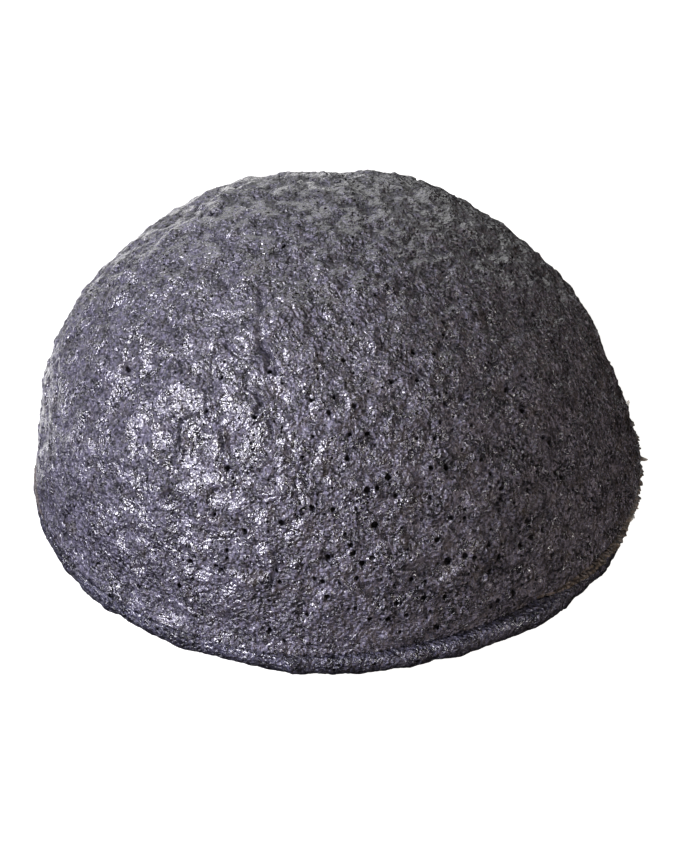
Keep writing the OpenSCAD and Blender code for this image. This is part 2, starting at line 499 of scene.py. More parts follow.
def foamMaterial(name, look):
    # A damp foam finish: the shared group with this piece's values
    material = bpy.data.materials.new(name)
    material.use_nodes = True
    nodes = Nodes(material.node_tree)

    def stored(name):
        return nodes.add("ShaderNodeAttribute", attribute_name=name).outputs["Fac"]

    fed = {**look["detail"], **{key: stored(name) for key, name in look["stored"].items()}}
    detail = nodes.add("ShaderNodeGroup", fed, node_tree=dampFoam).outputs
    shader = nodes.add("ShaderNodeBsdfPrincipled", {
        "Base Color": detail["Colour"], "Roughness": detail["Roughness"], "IOR": look["ior"],
        "Specular IOR Level": detail["Reflectance"], "Coat Weight": detail["Water"],
        "Coat Roughness": look["waterRoughness"], "Coat IOR": look["waterIor"],
    })
    if "seeThrough" in look:
        left = nodes.maths("MULTIPLY_ADD", stored(look["stored"]["Paleness"]), -look["seeThrough"], 1.0)
        nodes.feed(shader.inputs["Alpha"], left)
    for height, normal in (("Height", "Normal"), ("Water Height", "Coat Normal")):
        bump = nodes.add("ShaderNodeBump", {"Distance": look["relief"] * mm, "Height": detail[height]})
        nodes.feed(shader.inputs[normal], bump.outputs["Normal"])
    nodes.add("ShaderNodeOutputMaterial", {"Surface": shader.outputs["BSDF"]})
    return material


print("materials")
moist = {"Grain": 0.95, "Fine Grain": 0.2, "Ripples": 0.55, "Wet": 0.22, "Water": 1.0}
waterFilm = {"relief": 0.75, "ior": 1.5, "waterIor": 2.2, "waterRoughness": 0.1}
# Each piece stores how deep its pores are, and the group paints shade into them
skinMaterial = foamMaterial("dampSkin", {
    "detail": {"Dark": (0.008, 0.0076, 0.012), "Light": (0.197, 0.185, 0.272), "Warm": (0.122, 0.102, 0.1),
               **moist, "Pinholes": 0.75, "Dry": 0.34},
    "stored": {"Pore": "poreShade", "Wetness": "wetness"},
    **waterFilm,
})
lipMaterial = foamMaterial("lipSkin", {
    # A darker, bluer copy of the skin's colours; the darkness is painted shade for the low roll
    "detail": {"Dark": (0.009, 0.0088, 0.015), "Light": (0.144, 0.14, 0.221), "Warm": (0.09, 0.079, 0.09),
               **moist, "Pinholes": 0.8, "Dry": 0.36},
    # under holds the painted shade on the roll's underside
    "stored": {"Pore": "poreShade", "Shade": "under", "Wetness": "wetness"},
    **waterFilm,
})
filmMaterial = foamMaterial("tornFilm", {
    "detail": {"Dark": (0.015, 0.0125, 0.013), "Light": (0.18, 0.15, 0.16), "Warm": (0.14, 0.092, 0.062),
               "Pale": (0.66, 0.55, 0.47), "Grain": 0.8, "Blisters": 0.2, "Pinholes": 0.3, "Dry": 0.42,
               "Wet": 0.28, "Water": 0.8},
    "stored": {"Paleness": "pale"},
    "relief": 0.6, "ior": 1.5, "waterIor": 1.5, "waterRoughness": 0.2, "seeThrough": 0.6,
})
flatMaterial = foamMaterial("flatSkin", {
    "detail": {"Dark": (0.05, 0.047, 0.06), "Light": (0.2, 0.187, 0.24), "Warm": (0.15, 0.128, 0.135)},
    "stored": {"Pore": "poreShade"},
    "relief": 0.35, "ior": 1.45, "waterIor": 1.45, "waterRoughness": 0.25,
})
coreMaterial = foamMaterial("openFoam", {
    "detail": {"Dark": (0.035, 0.032, 0.04), "Light": (0.15, 0.14, 0.175), "Warm": (0.11, 0.095, 0.1),
               "Ripples": 0.3, "Blisters": 0.3, "Dry": 0.6, "Wet": 0.5, "Water": 0.2},
    "stored": {"Pore": "poreShade"},
    "relief": 0.35, "ior": 1.4, "waterIor": 1.4, "waterRoughness": 0.3,
})


# Reach of the torn film past the foot line, by direction round the foot
filmReach = ((-180, 0.3), (-175, 0.3), (-168, 0.25), (-160, -0.1), (-150, -1.6), (-48, -1.6), (-40, 0.0),
             (-34, 0.5), (-28, 0.75), (-22, 0.8), (-16, 0.6), (-10, 0.5), (-4, 0.35), (2, 0.35), (8, 0.2),
             (14, 0.55), (20, 0.8), (28, 0.8), (40, 0.7), (60, 0.3), (90, 0.2), (130, 0.3), (165, 0.4),
             (174, 0.4))
rubbedOff = (0.5, 1.2)  # mm inside the foot line at which the dome starts to come down, and is down


def hiddenFilm(phi):
    # 1 where the film was rubbed off, so that the dome comes down onto the lip
    return eased(-roundSteps(phi, filmReach), *rubbedOff)


# How far dome and lip run into each other, by direction: 1 is one skin, 0 a clear groove
oneSkin = ((-180, 0.6), (-165, 0.9), (-155, 1.0), (-100, 0.9), (-84, 0.45), (-76, 0.1), (-45, 0.0),
           (-34, 0.4), (-24, 0.85), (0, 1.0), (40, 0.9), (90, 0.6), (150, 0.6))


# What the photograph shows, by pixel

view = {
    "elevation": 37.67,  # degrees above the table
    "distance": 600.0,
    "aim": (0.0, 0.0, 15.0),
    "pixelsPerMm": 7.561,  # at the aim point
    "aimPixel": (339.73, 402.31),
    "frame": (680, 854),
    "sensor": 36,
    "clip": (0.01, 20),
}
elevation = math.radians(view["elevation"])
viewUp = (0, math.sin(elevation), math.cos(elevation))
viewBack = (0, -math.cos(elevation), math.sin(elevation))
viewShift = ((view["frame"][0] / 2 - view["aimPixel"][0]) / view["pixelsPerMm"],
             (view["aimPixel"][1] - view["frame"][1] / 2) / view["pixelsPerMm"])


studio = {
    # direction, distance, width, power and colour of each round lamp
    "lamps": {
        "key": ((-0.84, -0.4, 0.39), 0.62, 0.42, 5.5, (0.94, 0.92, 1.0)),
        "fill": ((0.05, -0.98, 0.15), 0.9, 0.5, 2.9, (1.0, 0.92, 0.84)),
        # low on the right, where the photograph turns brown
        "warm": ((0.75, -0.65, 0.12), 0.9, 0.5, 2.0, (1.0, 0.75, 0.32)),
        # small, for the sparks on the right
        "spark": ((0.5, -0.55, 0.5), 0.8, 0.17, 1.1, (1.0, 0.97, 0.92)),
    },
    "noGlints": ("fill", "warm"),  # these only lift the shadows
    "lampAim": (0, 0, 0.02),
    "roomRadius": 1.1,
    "roomTurn": (-228, 62, 33),  # the directions it covers, in degrees from the right, in how many points
    "roomClimb": (0, 80, 17),
    "clothTurn": (-228, 90, 61),
    # mm from the foot line to the black cloth on the table, by direction
    "clothGap": ((-232, 40), (-190, 40), (-182, -0.5), (90, -0.5)),
    "clothHeight": 0.0004,
    "clothGrey": 0.02,
    "worldLight": (0.045, 0.035, 0.02),  # what the matt surfaces see
    "tableGrey": 0.8,
    "tableWhite": 0.94,  # how brightly the table shows
    "tableReach": 6.0,
}


def seenPixels(points):
    # Where points in millimetres fall in the photograph
    away = points - np.array(view["aim"])
    near = view["distance"] - away @ np.array(viewBack)
    scale = view["pixelsPerMm"] * view["distance"] / near
    x = view["frame"][0] / 2 + (away[..., 0] - viewShift[0]) * scale
    y = view["frame"][1] / 2 - (away @ np.array(viewUp) - viewShift[1]) * scale
    return x, y


def nearestSeen(seen, facing, x, y):
    # The number of the point that is seen nearest to a pixel
    return np.argmin(np.where(facing, np.hypot(seen[0] - x, seen[1] - y), farAway))


def farFromLine(x, y, line):
    # Distance in pixels from seen points to a run of straight strokes, and the side they lie on
    far = np.full(x.shape, farAway)
    side = np.zeros(x.shape)
    for (x0, y0), (x1, y1) in zip(line[:-1], line[1:]):
        dx, dy = x1 - x0, y1 - y0
        t = np.clip(((x - x0) * dx + (y - y0) * dy) / (dx * dx + dy * dy), 0, 1)
        d = np.hypot(x - x0 - t * dx, y - y0 - t * dy)
        turn = (x - x0) * dy - (y - y0) * dx
        side = np.where(d < far, np.sign(turn), side)
        far = np.minimum(far, d)
    return far, side


outline = {
    "middle": (340, 430),  # pixel round which the drift is read
    "fade": 0.3,
    # drift of the dome's outline in mm, by direction round that pixel, clockwise from the right
    "domeDrift": ((175, 0.15), (180, -0.35), (185, -0.2), (190, 0.35), (196, 0.4), (202, 0.1), (213, 0.2),
                  (220, -0.5), (226, -0.6), (240, -0.2), (250, 0.1), (262, -0.35), (270, -0.5), (276, 0.3),
                  (282, 0.4), (290, 0.25), (300, -0.1), (306, -0.2), (315, -0.2), (325, -0.35), (330, 0.2),
                  (335, 0.15), (340, -0.1), (345, -0.8), (350, -0.45), (355, 0.15), (0, -0.05), (10, 0)),
}


# Dome skin

relief = {
    # size and height of the bumps in mm, coarse to fine, and the seeds of their noise and its bend
    "bumps": ((5.0, 0.3, 11, 21), (2.6, 0.5, 24, 28), (1.25, 0.38, 37, 35), (0.66, 0.2, 50, 42)),
    "bend": (0.9, 0.22),  # size and reach, in shares of the bump's size
    "round": 0.8,  # share of the finer bumps; the rest are clefts between them
    "cleft": 0.5,
    "cleftSize": 1.3,
    "cleftMean": 0.3,
    "patches": (2.2, 311, 3, 0.6),  # noise of the wet patches: size, seed, layers and gain
    "patchBend": (1.2, 0.35, 301),
    "patchRange": (-0.15, 0.25),
    "patchCalm": 0.55,  # how much smoother they are
    "patchRise": 0.12,
    "creases": (5.2, 135),
    "creaseBend": (3.0, 1.3, 121),
    "creaseWidth": 0.08,
    "creaseDepth": 0.26,
    "creased": (9.0, 141, 0.0, 0.35),  # noise of the parts that have them, and where it eases to none and all
    "facing": 0.15,  # least turn to the camera where the photographed marks lie
    "markWave": 4,  # px by which their edges are bent, and the size and seeds of that bend
    "markBends": ((1.9, 231), (1.9, 232)),
    "ridgeFar": 1.1,  # in half widths of the crease
    "photoDeeper": 1.4,  # how much deeper the photographed creases are cut than listed
    "plateRise": 0.1,
    "plateTilt": 0.6,  # share of the turn that would make a plate a mirror for the lamp
    "plateEdge": (0.7, 1.3),  # in shares of its radius
    "plateCalm": 0.5,
    "wetSpot": (195, 420),  # pixel where the most water lies
    "wetReach": 110,
    "wetMore": 0.2,
    "rimEase": 1.6,  # height over which the relief dies out at the foot
    "rimLeast": 0.25,
    "flare": 0.85,  # how far the foot spreads out over the lip where they are one skin
    "flareHeight": 3.4,
    "tuck": 0.75,  # how far the foot draws in over a clear groove, so that it lies in shadow
    "pores": (1.3, (0.15, 0.46), 81),  # one bubble to a cell of this size, least and most radius, seed
    "poreChance": (0.04, 0.72, 0.24),  # everywhere, more at the front right, more near the foot
    "poreSide": (0.7, -0.55, 0),  # the way the front right faces
    "poreSideRange": (0.15, 0.75),
    "poreHeights": (24, 8),  # mm up, below which they grow more, and are most
    "poreBend": (0.7, 0.12, 261),
    "poresAbove": 0.9,  # least share of the relief left where there are any
    "poreDeepest": 1.0,
    "poreShadeDepths": (0.02, 0.16),  # depths from no painted pore shade to all
    "photoPoreSink": 0.1,  # in shares of its radius
    "photoPoreLong": 2,  # times as deep as round
}
photoPores = (  # x, y, radius in mm: the larger pores
    (269, 371, 0.34), (311, 400, 0.3), (226, 469, 0.38), (205, 411, 0.24), (221, 377, 0.24), (447, 467, 0.42),
    (375, 526, 0.5), (368, 433, 0.34), (350, 434, 0.3), (435, 439, 0.3), (514, 502, 0.4), (498, 482, 0.3),
    (465, 519, 0.3), (396, 496, 0.28), (418, 380, 0.3), (392, 382, 0.28), (414, 352, 0.36), (448, 562, 0.56),
    (465, 556, 0.4), (499, 558, 0.42), (474, 557, 0.3), (411, 579, 0.34), (490, 571, 0.36), (512, 591, 0.34),
    (498, 602, 0.4), (445, 598, 0.36), (397, 604, 0.34), (388, 619, 0.36), (437, 630, 0.44), (458, 630, 0.4),
    (542, 609, 0.4), (521, 546, 0.46), (488, 545, 0.42), (528, 521, 0.46), (426, 582, 0.28), (438, 565, 0.3),
    (515, 618, 0.32), (523, 585, 0.3), (479, 625, 0.34), (139, 586, 0.34), (120, 551, 0.32), (216, 566, 0.32),
    (178, 633, 0.34), (233, 635, 0.34), (243, 637, 0.3), (270, 630, 0.34), (226, 656, 0.3), (197, 616, 0.32),
    (276, 573, 0.3), (227, 558, 0.28), (99, 554, 0.3), (297, 663, 0.3), (514, 447, 0.3), (328, 558, 0.4),
)
photoPlates = (  # x, y, radius in px: smooth wet patches that stand a little proud
    (240, 345, 9), (273, 331, 5), (175, 407, 8), (229, 404, 10), (243, 411, 11), (195, 425, 8),
    (161, 440, 10), (259, 437, 6), (257, 447, 5), (215, 446, 6), (216, 457, 6), (185, 461, 8), (212, 480, 8),
    (287, 355, 6),
    (199, 397, 6), (281, 441, 5), (140, 572, 6), (190, 568, 8), (206, 573, 8), (230, 588, 8), (263, 549, 8),
    (310, 483, 6), (328, 478, 6), (345, 466, 5), (303, 500, 6), (321, 447, 6), (131, 278, 6), (121, 300, 5),
    (398, 330, 6), (372, 347, 6), (352, 292, 6), (331, 318, 6), (443, 357, 5), (438, 379, 5), (299, 523, 7),
)
photoCreases = (  # points along each, half width in px, depth in mm, height of the ridge beside it
    (((262, 292), (261, 318), (262, 342), (268, 356), (275, 370)), 5.5, 0.45, 0.14),
    (((226, 342), (240, 357), (260, 360)), 3.5, 0.3, 0.2),
    (((177, 355), (182, 377)), 3.5, 0.3, 0.14),
    (((207, 394), (205, 413)), 3.5, 0.36, 0.16),
    (((247, 385), (260, 399), (262, 408), (254, 417)), 4.0, 0.34, 0.16),
    (((220, 432), (225, 450)), 3.5, 0.34, 0.16),
    (((270, 420), (272, 436)), 3.5, 0.3, 0.14),
    (((285, 450), (296, 466), (307, 485)), 4.5, 0.32, 0.12),
    (((184, 550), (196, 559)), 5.0, 0.34, 0.12),
    (((275, 553), (277, 570), (272, 586)), 4.0, 0.34, 0.2),
    (((156, 352), (162, 345), (170, 341), (178, 340)), 2.6, 0.2, 0.16),
    (((191, 415), (181, 424), (178, 440), (176, 450), (174, 462)), 4.5, 0.46, 0.22),
    (((149, 398), (158, 415), (172, 433)), 4.0, 0.28, 0.12),
    (((132, 470), (131, 478), (134, 484)), 2.5, 0.2, 0.2),
    (((222, 440), (222, 450), (219, 462)), 3.5, 0.3, 0.18),
    (((389, 404), (390, 411), (388, 418)), 2.0, 0.12, 0.2),
    (((468, 388), (466, 394), (464, 401)), 4.5, 0.34, 0.2),
    (((160, 500), (172, 492), (184, 496)), 4.0, 0.3, 0.14),
    (((240, 515), (252, 528), (262, 531)), 5.0, 0.3, 0.14),
)


def wetPatches(points, more=0):
    # 1 where water lies on the skin, in patches about 2 mm across, and 0 where it is dry
    place = bent(points, *relief["patchBend"])
    return eased(layeredNoise(place, *relief["patches"]) + more, *relief["patchRange"])


def skinRelief(points, wet):
    # Height of the damp skin: soft bumps, finer ones with sharp clefts between them, and a few
    # creases. The wet patches are smoother and stand proud.
    height = relief["patchRise"] * wet
    bendSize, bendReach = relief["bend"]
    for step, (size, tall, seed, bendSeed) in enumerate(relief["bumps"]):
        place = bent(points, size * bendSize, size * bendReach, bendSeed)
        soft = softNoise(place, size, seed)
        if step > 0:
            clefts = np.abs(softNoise(place, size * relief["cleftSize"], seed + 1)) - relief["cleftMean"]
            soft = relief["round"] * soft + relief["cleft"] * clefts
        if step > 1:
            soft = soft * (1 - relief["patchCalm"] * wet)
        height = height + tall * soft
    lines = np.abs(softNoise(bent(points, *relief["creaseBend"]), *relief["creases"]))
    creases = (1 - eased(lines, 0, relief["creaseWidth"])) * easedNoise(points, *relief["creased"])
    return height - relief["creaseDepth"] * creases


def photoMarks(points, normals, facing):
    # The photographed creases and wet plates, their edges bent by noise. Each plate is tilted towards
    # the direction in which it mirrors the key lamp to the camera.
    seen = seenPixels(points)
    x, y = (pixel + relief["markWave"] * softNoise(points, *bend)
            for pixel, bend in zip(seen, relief["markBends"]))
    height = np.zeros(x.shape)
    for line, wide, deep, ridge in photoCreases:
        far, side = farFromLine(x, y, line)
        groove = deep * (1 - eased(far, 0, wide))
        beside = ridge * (1 - eased(np.abs(far - wide * relief["ridgeFar"]), 0, wide)) * (side > 0)
        height += np.where(facing, relief["photoDeeper"] * (beside - groove), 0)
    keyFrom = np.array(studio["lamps"]["key"][0])
    glint = np.array(viewBack) + keyFrom / np.linalg.norm(keyFrom)
    glint = glint / np.linalg.norm(glint)
    plates = np.zeros(x.shape)
    for middleX, middleY, radius in photoPlates:
        nearest = nearestSeen(seen, facing, middleX, middleY)
        middle, normal = points.reshape(-1, 3)[nearest], normals.reshape(-1, 3)[nearest]
        uphill = glint - (glint @ normal) * normal
        low, high = relief["plateEdge"]
        plate = facing * (1 - eased(np.hypot(x - middleX, y - middleY), radius * low, radius * high))
        height += plate * (relief["plateRise"] - relief["plateTilt"] * ((points - middle) @ uphill))
        plates = np.maximum(plates, plate)
    return height, plates


def footSpread(phi):
    # The foot spreads out over the lip where they are one skin, and draws in over a clear groove
    joined = roundSteps(phi, oneSkin)
    return relief["flare"] * joined - relief["tuck"] * hiddenFilm(phi) * (1 - joined)


def domeSkin():
    # The dome's surface, moved along its normals by the skin's relief and sunk into its pores
    share, phi, _ = squareGrid(dome["half"])
    smooth = domePoint(share, phi)
    normals = gridNormals(smooth)
    seen = seenPixels(smooth)
    edgeOn = normals @ np.array(viewBack)
    facing = edgeOn > relief["facing"]
    marks, plates = photoMarks(smooth, normals, facing)
    fromWet = np.hypot(seen[0] - relief["wetSpot"][0], seen[1] - relief["wetSpot"][1])
    wetter = relief["wetMore"] * np.where(facing, np.exp(-(fromWet / relief["wetReach"]) ** 2), 0)
    wet = np.maximum(wetPatches(smooth, wetter), plates)
    height = skinRelief(smooth, wet) * (1 - relief["plateCalm"] * plates) + marks
    turn = np.arctan2(seen[1] - outline["middle"][1], seen[0] - outline["middle"][0])
    height += roundSteps(turn, outline["domeDrift"]) * np.exp(-(edgeOn / outline["fade"]) ** 2)
    risen = smooth[..., 2] - dome["bottom"]
    fade = relief["rimLeast"] + (1 - relief["rimLeast"]) * eased(risen, 0, relief["rimEase"])
    shown = smooth + normals * (height * fade)[..., None]
    shown += polar(np.clip(1 - risen / relief["flareHeight"], 0, 1) ** 2 * footSpread(phi), phi, 0)
    # Bubbles crowd towards the front right and the foot
    right = eased(normals @ np.array(relief["poreSide"]), *relief["poreSideRange"])
    none, most = relief["poreHeights"]
    low = eased(-smooth[..., 2], -none, -most)
    even, atRight, atFoot = relief["poreChance"]
    chance = even + atRight * right + atFoot * low
    depth, swell = poreDepths(bent(smooth, *relief["poreBend"]), normals, *relief["pores"], chance)
    for x, y, radius in photoPores:
        nearest = nearestSeen(seen, facing, x, y)
        inward = normals.reshape(-1, 3)[nearest] * radius * relief["photoPoreSink"]
        far = np.linalg.norm(smooth - (smooth.reshape(-1, 3)[nearest] - inward), axis=-1)
        depth = np.maximum(depth, relief["photoPoreLong"] * np.sqrt(np.maximum(radius ** 2 - far ** 2, 0)))
    depth = np.minimum(depth, relief["poreDeepest"]) * (fade > relief["poresAbove"])
    shown = shown + normals * (swell * fade - depth)[..., None]
    shown[..., 2] -= dome["drop"] * hiddenFilm(phi) * (share == 1)
    inner = squareGrid(dome["half"] // dome["innerRatio"])
    ledge = dome["ledge"]
    inside = domePoint(np.minimum(inner[0] / ledge, 1), inner[1], dome["skin"])
    rim = domePoint(np.ones_like(inner[0]), inner[1], -footSpread(inner[1]))
    rim[..., 2] = dome["bottom"] - dome["drop"] * hiddenFilm(inner[1])
    across = np.clip((inner[0] - ledge) / (1 - ledge), 0, 1)[..., None]
    under = inside * (1 - across) + rim * across
    # Painted shade in the pores, darker the deeper they are
    poreShade = eased(depth, *relief["poreShadeDepths"])
    piece = closedPiece("dome_skin_surface", shown, under, dome["innerRatio"], skinMaterial,
                        "dome_skin", {"poreShade": poreShade, "wetness": wet})


domeSkin()


# Rolled lip

lip = {
    "height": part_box("rim_lip")[1].z / mm,
    "bulge": 2.3,  # height of its fattest line
    "width": 4.0,
    "proud": 0.4,
    "toeIn": 1.9,
    "groove": 0.6,
    "filled": 0.85,  # share of the upper round that is gone where the groove is filled
    "around": 1800,
    "along": 40,
    "relief": 0.5,  # share of the dome's relief
    "toeFade": 0.25,  # shares of the roll over which the relief comes up, and dies down to the least
    "topFade": 0.2,
    "topLeast": 0.3,
    "pores": (1.3, (0.15, 0.46), 82),  # cell, radii and seed
    "poreChance": 0.22,
    "poreDeepest": 0.6,
    "poreShadeDepths": (0.04, 0.24),
    "paintedShadeRange": (0.58, 0.3),  # shares of the roll below which shade is painted on it, and where it is wholly painted
    # how far the photographed edge stands out past the even roll, by direction round the foot
    "drift": ((-180, -0.1), (-160, 0), (-150, 0.25), (-139, 0.4), (-133, 0.05), (-126, 0.35), (-121, 0.4),
              (-116, 0), (-111, 0.15), (-103, 0.3), (-99, 1.15), (-95, 0.4), (-90, 0.4), (-86, 0.35),
              (-78, 0.2), (-72, -0.1), (-66, 0.25), (-61, 0), (-54, 0.15), (-50, 0.75), (-45, 0.75),
              (-38, 0.2), (-31, 0.1), (-27, 0.5), (-22, 0.1), (-17, -0.25), (-8, -0.3), (10, 0), (90, 0)),
}


def lipProfile(t, filled):
    # Two quarter rounds, from the toe out over the fattest line (0 to 0.5) and back into the groove
    # (0.5 to 1): distance drawn in from the foot line, less where the groove is filled, and height
    u = np.pi * np.minimum(t, 0.5)
    w = np.pi * np.maximum(t - 0.5, 0)
    inset = lip["toeIn"] - (lip["toeIn"] + lip["proud"]) * np.sin(u)
    inset = inset + (lip["proud"] + lip["groove"]) * (1 - np.cos(w)) * (1 - lip["filled"] * filled)
    z = lip["bulge"] * (1 - np.cos(u)) + (lip["height"] - lip["bulge"]) * np.sin(w)
    return inset, z


def rimLip():
    # The roll carried round the foot with the dome's relief on it, and closed by its inner wall
    phi = np.linspace(0, 2 * np.pi, lip["around"], endpoint=False)
    t = np.linspace(0, 1, lip["along"])
    inset, z = lipProfile(t[None], roundSteps(phi, oneSkin)[:, None])
    inset = np.pad(inset, ((0, 0), (0, 2)), constant_values=lip["width"])
    z = np.concatenate([z[0], [lip["height"], 0]])
    r = footRadius(phi)[:, None] - inset
    points = polar(r, phi[:, None], z)
    edge = np.pad(points, ((1, 1), (0, 0), (0, 0)), mode="wrap")
    normals = gridNormals(edge)[1:-1]
    free = np.zeros(len(z))
    atTop = lip["topLeast"] + (1 - lip["topLeast"]) * eased(1 - t, 0, lip["topFade"])
    free[:lip["along"]] = eased(t, 0, lip["toeFade"]) * atTop
    depth, swell = poreDepths(points, normals, *lip["pores"], lip["poreChance"] * free)
    depth = np.minimum(depth, lip["poreDeepest"])
    wet = wetPatches(points)
    height = (lip["relief"] * skinRelief(points, wet) + swell) * free - depth
    shown = points + normals * height[..., None]
    drift = roundSteps(phi, lip["drift"])[:, None] * np.sin(np.pi * np.clip(free, 0, 1) / 2)
    shown += polar(drift, phi[:, None], 0)
    shown[..., 2] = np.clip(shown[..., 2], 0, lip["height"])
    # Painted shade on the roll's underside, below its fattest line
    start, end = lip["paintedShadeRange"]
    under = np.concatenate([eased(start - t, 0, start - end), [0, 0]])
    # Painted shade in the pores, darker the deeper they are
    values = {"poreShade": eased(depth, *lip["poreShadeDepths"]), "under": np.tile(under, len(phi)), "wetness": wet}
    piece = newPiece("rim_lip_roll", shown, [ringQuads(len(phi), len(z))], lipMaterial, "rim_lip",
                     values=values)


rimLip()


# Torn film

film = {
    "bottom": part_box("rim_film")[0].z / mm,
    "thickness": 0.35,
    "inner": 4.0,
    "around": 2400,
    "across": 12,
    "edge": 0.08,  # thickness at the torn edge
    "drape": 0.45,  # how far it hangs down where it is thinnest
    "drapeBend": 1.3,  # over 1 bends more the further out it is
    "waveBend": 1.5,
    "teeth": ((2.6, 0.8, 151), (1.1, 0.6, 152), (0.5, 0.5, 153)),  # size, height and seed
    "teethOut": 0.45,
    "tornAt": (6, 60),  # middle and half length of the torn stretch, in degrees
    "tornLeast": 0.3,  # how torn and how wavy it is elsewhere
    "rowEase": 0.7,  # under 1 sets the rows closer at the edge
    "thinOver": 1.5,  # mm over which it thins, lifts and hangs down
    "waves": ((3.0, 0.5, 171), (1.2, 0.35, 181)),  # size, height and seed
    "tagReach": 1.2,
    "tagShape": 0.8,  # under 1 is blunter than a spike
    "paleFrom": (0.5, 1.1),
    "palePatches": (4.0, 186, 0.0, 0.4),
    "paleLeast": 0.2,
    "paleAt": (178, 24),  # the pale stretch on the left
    "tags": ((20.0, 0.6, 1.5, 1.2), (4.0, 0.7, 0.5, 0.2), (8.0, 0.25, 1.0, 0.1), (-11, 0.25, 1.2, 0.1),
             (-29, 0.3, 1.6, 0.0)),  # direction, reach, half width in degrees, lift
}


def rimFilm():
    # A thin ring from under the dome to an edge with teeth from noise, thinning as it goes out, and
    # curled up where it is torn
    phi = np.linspace(0, 2 * np.pi, film["around"], endpoint=False)
    ring = polar(foot["radius"], phi, 0)
    stretch = arc(phi, *film["tornAt"])
    torn = stretch + film["tornLeast"]
    teeth = sum(share * np.abs(softNoise(ring, size, seed)) for size, share, seed in film["teeth"])
    reach = roundSteps(phi, filmReach) + torn * (film["teethOut"] - teeth)
    rise = np.zeros(len(phi))
    for direction, far, wide, lifted in film["tags"]:
        tip = np.clip(1 - np.abs(degreesFrom(phi, direction)) / wide, 0, 1) ** film["tagShape"]
        reach = reach + far * tip
        rise = rise + lifted * tip
    t = np.linspace(0, 1, film["across"]) ** film["rowEase"]
    start = footRadius(phi)[:, None] - film["inner"]
    r = start + (reach + film["inner"])[:, None] * t[None]
    out = np.clip((r - (footRadius(phi)[:, None] - dome["groove"])) / film["thinOver"], 0, 2)
    waves = sum(high * softNoise(ring, size, seed) for size, high, seed in film["waves"])
    wavy = film["tornLeast"] + (1 - film["tornLeast"]) * stretch
    lift = out ** film["waveBend"] * (waves * wavy)[:, None] + rise[:, None] * (out / film["tagReach"]) ** 2
    lift = lift - film["drape"] * out ** film["drapeBend"]
    thin = film["thickness"] + (film["edge"] - film["thickness"]) * np.clip(out, 0, 1)
    middle = film["bottom"] + film["thickness"] / 2 + lift
    low, high = middle - thin / 2, middle + thin / 2
    shown = np.concatenate([polar(r, phi[:, None], low)[:, ::-1], polar(r, phi[:, None], high)], axis=1)
    pale = eased(np.concatenate([out[:, ::-1], out], axis=1), *film["paleFrom"])
    patchy = np.maximum(easedNoise(ring, *film["palePatches"]), np.clip(2 * rise, 0, 1))
    patchy = np.maximum(patchy, arc(phi, *film["paleAt"]))
    pale = pale * (film["paleLeast"] + (1 - film["paleLeast"]) * patchy)[:, None]
    # The outline runs the other way round here, so the quads are turned over
    quads = ringQuads(len(phi), shown.shape[1])[:, [0, 3, 2, 1]]
    newPiece("rim_film_torn", shown, [quads], filmMaterial, "rim_film", values={"pale": pale})


rimFilm()


# Flat face

flatFace = {
    "top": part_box("base_skin")[1].z / mm,
    "inset": 4.05,
    "half": 150,
    "ratio": 6,  # how much coarser its hidden side is
    "pores": (2.4, (0.3, 0.8), 191, 0.55),  # cell, radii, seed and chance
    "poreDeepest": 0.8,
    "poreShadeDepths": (0.05, 0.3),
    # depth of the hollows, size and seed of their noise, and where it eases to none and to all
    "hollows": ((0.12, 7.0, 201, 0, 0.8), (0.05, 1.2, 211, -0.2, 0.8)),
    "rimFade": 0.02,
}


def flatSkin():
    # A disc inside the lip, its face on the table pitted and drawn up a little in broad hollows
    share, phi, _ = squareGrid(flatFace["half"])
    r = (footRadius(phi) - flatFace["inset"]) * share
    upper, lower = polar(r, phi, flatFace["top"]), polar(r, phi, 0)
    down = np.broadcast_to(np.array([0.0, 0.0, -1.0]), lower.shape)
    depth = np.minimum(poreDepths(lower, down, *flatFace["pores"])[0], flatFace["poreDeepest"])
    hollow = sum(deep * easedNoise(lower, *look, layers=2) for deep, *look in flatFace["hollows"])
    fade = eased(1 - share, 0, flatFace["rimFade"])
    shown = polar(r, phi, np.maximum(hollow, depth) * fade)
    # Turned over, so that the pitted face is the fine grid and looks down
    ratio = flatFace["ratio"]
    # Painted shade in the pores, darker the deeper they are
    poreShade = eased(depth, *flatFace["poreShadeDepths"])[::-1]
    piece = closedPiece("base_skin_face", shown[::-1], upper[::-ratio, ::ratio], ratio, flatMaterial,
                        "base_skin", {"poreShade": poreShade})


flatSkin()


# Foam core, sealed inside

core = {
    "bottom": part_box("foam_core")[0].z / mm,
    "inset": 1.55,
    "lipInset": 4.05,
    "half": 120,
    "ratio": 6,  # how much coarser its floor is
    "onDome": 0.9,  # shares of the grid up to which it is the dome, and the ledge
    "onLedge": 0.95,
    "pores": (2.0, (0.3, 0.9), 221, 0.7),  # cell, radii, seed and chance
    "poreDeepest": 0.9,
    "poreRim": 0.98,  # share of the dome that has pores
    "poreShadeDepths": (0.05, 0.4),
}


